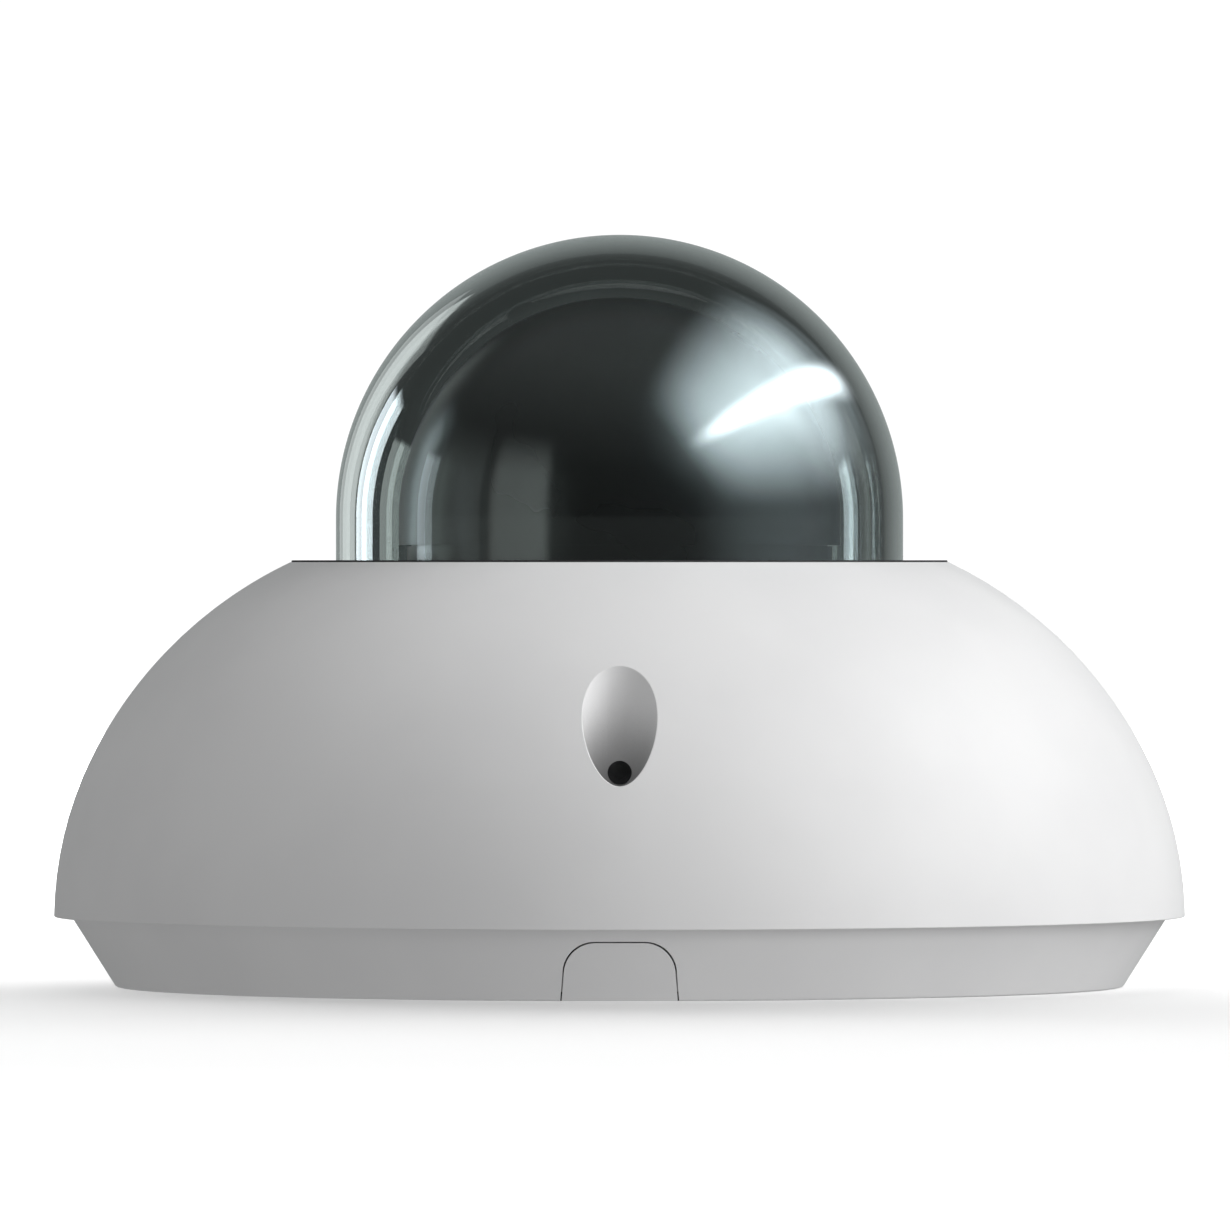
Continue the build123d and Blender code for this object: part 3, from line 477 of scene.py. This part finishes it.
# ---- lights ----
# Each light is linked to what it lights: the painted body, the bubble with its liner, or the floor.
MIDDLE, DOME_MIDDLE = (0, 0, 0.03), (0, 0, 0.045)
BODY_DISTANCE, DOME_DISTANCE = 1.2, 1.0
BODY_PANEL = 0.7
WHITE, COOL, SKY = (1, 1, 1), (0.84, 0.95, 1.0), (0.80, 0.95, 1.0)
PALE_GREEN, GREEN, FAINT_GREEN = (0.9, 1.0, 0.97), (0.86, 1.0, 0.96), (0.95, 1.0, 0.99)

# Panels for the painted body: azimuth, elevation, radiance.
BODY_PANELS = ((-60, 10, 0.64), (-90, 66, 2.22), (30, 10, 1.50), (60, 10, 3.52), (90, 38, 5.72))

# Panels seen in the bubble: azimuth, half width, low and high edge (degrees), radiance, softness
# sideways and upwards, colour.
DOME_STRIPS = {
    "dome_key": (79, 45, 3, 74, 5.7, (0.7, 1.0), SKY),
    "dome_key_low": (78, 48, -34, 22, 0.46, (0.9, 0.7), SKY),
    "dome_key_back": (112, 26, 4, 62, 0.6, (0.2, 0.8), SKY),
    "dome_window_left": (-70, 13, -40, 34, 0.24, (0.15, 0.6), PALE_GREEN),
    "dome_window_right": (-42, 15, -40, 34, 0.66, (0.35, 0.6), PALE_GREEN),
    "dome_left_side": (-87, 2.2, -12, 20, 2.6, (0.1, 0.2), COOL),
    "dome_left_mid": (-109, 4.5, -12, 19, 2.1, (0.08, 0.12), GREEN),
    "dome_left_back": (-129, 5.0, -12, 24, 5.6, (0.06, 0.15), COOL),
    "dome_left_rim": (-150, 9, -12, 30, 0.55, (0.06, 0.12), FAINT_GREEN),
}
STREAK_FROM, STREAK_TO = Vector((0.80, -1.30, 0.86)), Vector((0.80, 1.30, 0.48))
STREAK_WIDTH, STREAK_RADIANCE, STREAK_SOFT, STREAK_POWER = 0.26, 14.0, (0.7, 1.0), 1.6

# Panels for the floor: place, size, radiance.
FLOOR_PANELS = {
    "floor_ceiling": ((0, 0, 1.5), (8.0, 8.0), 0.04),
    "floor_back_low": ((0, 1.879, 0.684), (5.0, 0.8), 10.1),
    "floor_back_high": ((0, 1.638, 1.147), (5.0, 0.8), 1.06),
    "floor_right": ((1.932, 0, 0.518), (3.0, 0.8), 4.2),
}


def receivers(name, members):
    """Collection that a light is linked to, so that it lights only these objects."""
    group = bpy.data.collections.new(name)
    for obj in members:
        group.objects.link(obj)
    return group


def around(azimuth, elevation, distance, middle):
    """Place at an azimuth right of the camera and an elevation, seen from the object."""
    a, e = math.radians(azimuth), math.radians(elevation)
    return (middle[0] + distance * math.sin(a) * math.cos(e),
            middle[1] - distance * math.cos(a) * math.cos(e),
            middle[2] + distance * math.sin(e))


def panel(name, location, target, size, radiance, linked, colour=WHITE):
    """Area light of a given size and radiance, hidden from the camera and linked to a group."""
    data = bpy.data.lights.new(name, "AREA")
    data.shape = "RECTANGLE"
    data.size, data.size_y = size
    data.energy, data.color = math.pi * size[0] * size[1] * radiance, colour
    obj = bpy.data.objects.new(name, data)
    obj.location = location
    scene.collection.objects.link(obj)
    aim(obj, target)
    obj.light_linking.receiver_collection = linked
    obj.visible_camera = False
    return obj


def soften(obj, soft, power=1.0):
    """Fade a panel towards its edges; soft is the faded share of each half."""
    obj.data.use_nodes = True
    tree = obj.data.node_tree
    emission = next(n for n in tree.nodes if n.type == "EMISSION")
    geometry = tree.nodes.new("ShaderNodeNewGeometry")
    split = tree.nodes.new("ShaderNodeSeparateXYZ")
    tree.links.new(geometry.outputs["Parametric"], split.inputs["Vector"])
    fades = []
    for axis, share in zip("XY", soft):
        off = maths(tree, "ABSOLUTE", maths(tree, "SUBTRACT", split.outputs[axis], 0.5))
        fades.append(graded(tree, off, 0.5 - share / 2, 0.5, 1.0, 0.0))
    level = maths(tree, "MULTIPLY", *fades)
    tree.links.new(maths(tree, "POWER", level, power), emission.inputs["Strength"])


def body_lights(painted):
    """Broad panels that grade the painted body from grey on the left to white on the right."""
    for azimuth, elevation, radiance in BODY_PANELS:
        place = around(azimuth, elevation, BODY_DISTANCE, MIDDLE)
        name = f"body_{azimuth}_{elevation}"
        panel(name, place, MIDDLE, (BODY_PANEL, BODY_PANEL), radiance, painted)


def dome_lights(dome):
    """Upright strips and one slanting tube that show as reflections in the bubble."""
    for name, (azimuth, half, low, high, radiance, soft, colour) in DOME_STRIPS.items():
        size = (2 * math.tan(math.radians(half)), 2 * math.tan(math.radians((high - low) / 2)))
        place = around(azimuth, (low + high) / 2, DOME_DISTANCE, DOME_MIDDLE)
        soften(panel(name, place, DOME_MIDDLE, size, radiance, dome, colour), soft)
    middle = (STREAK_FROM + STREAK_TO) / 2
    run = STREAK_TO - STREAK_FROM
    size = (run.length, STREAK_WIDTH)
    tube = panel("dome_streak", middle, DOME_MIDDLE, size, STREAK_RADIANCE, dome, COOL)
    soften(tube, STREAK_SOFT, STREAK_POWER)
    facing = (Vector(DOME_MIDDLE) - middle).normalized()
    along = (run - run.dot(facing) * facing).normalized()
    axes = Matrix((along, (-facing).cross(along), -facing)).transposed()
    tube.rotation_euler = axes.to_euler()


def floor_lights(ground):
    """Panels behind, above and to the right, which set the floor's soft shadow."""
    for name, (place, size, radiance) in FLOOR_PANELS.items():
        panel(name, place, (0, 0, 0), size, radiance, ground)


world()
bubble = bubble_glass()
ground = receivers("ground", [floor()])
dome = receivers("dome", [bubble, nodes["inner_liner"]])
inside_dome = ("dome_bubble", "inner_liner")
painted = receivers("painted", [obj for name, obj in nodes.items() if name not in inside_dome])
body_lights(painted)
dome_lights(dome)
floor_lights(ground)
scene.view_settings.view_transform = "Standard"
